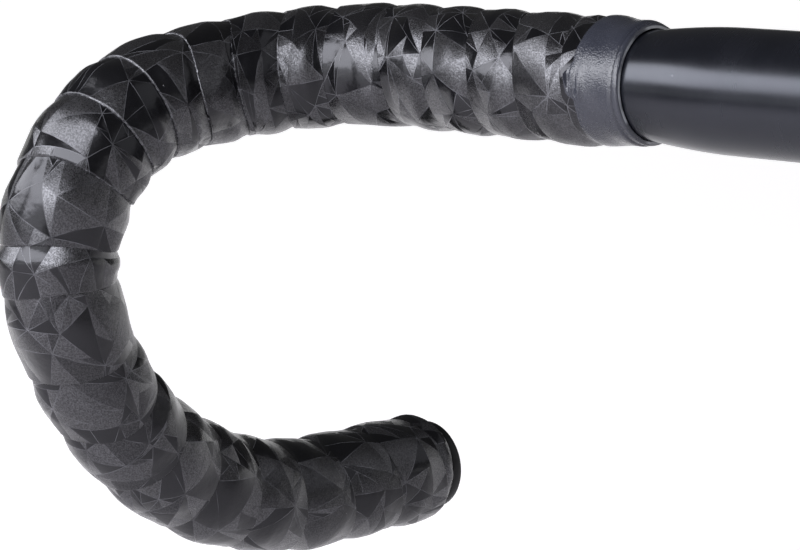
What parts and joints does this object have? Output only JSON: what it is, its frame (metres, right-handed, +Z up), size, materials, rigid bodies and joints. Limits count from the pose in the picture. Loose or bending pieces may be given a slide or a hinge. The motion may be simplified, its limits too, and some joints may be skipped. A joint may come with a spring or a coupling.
{
  "type": "wound handlebar tape",
  "caption": "Black padded tape wound in overlapping turns round one side of a bent drop handlebar, with a grey finishing strip at the tops and a push-in plug in the bar's end.",
  "frame": {"origin": "on the bar's centreline, at the flat cut on the bicycle's middle plane, where the stem would hold it", "axes": "+X out along the tops to the rider's right, +Y forwards, +Z up"},
  "size_m": [0.2396, 0.1609, 0.1751],
  "materials": {
    "bar_finish": "satin black anodised or painted aluminium tube",
    "tape": null,
    "strip": "slate-grey vinyl adhesive strip, satin",
    "plug": "matte black moulded plastic"
  },
  "bodies": {
    "root": {"handlebar": "bar_finish", "bar_tape": "tape", "finishing_strip": "strip", "end_plug": "plug"}
  },
  "joints": []
}
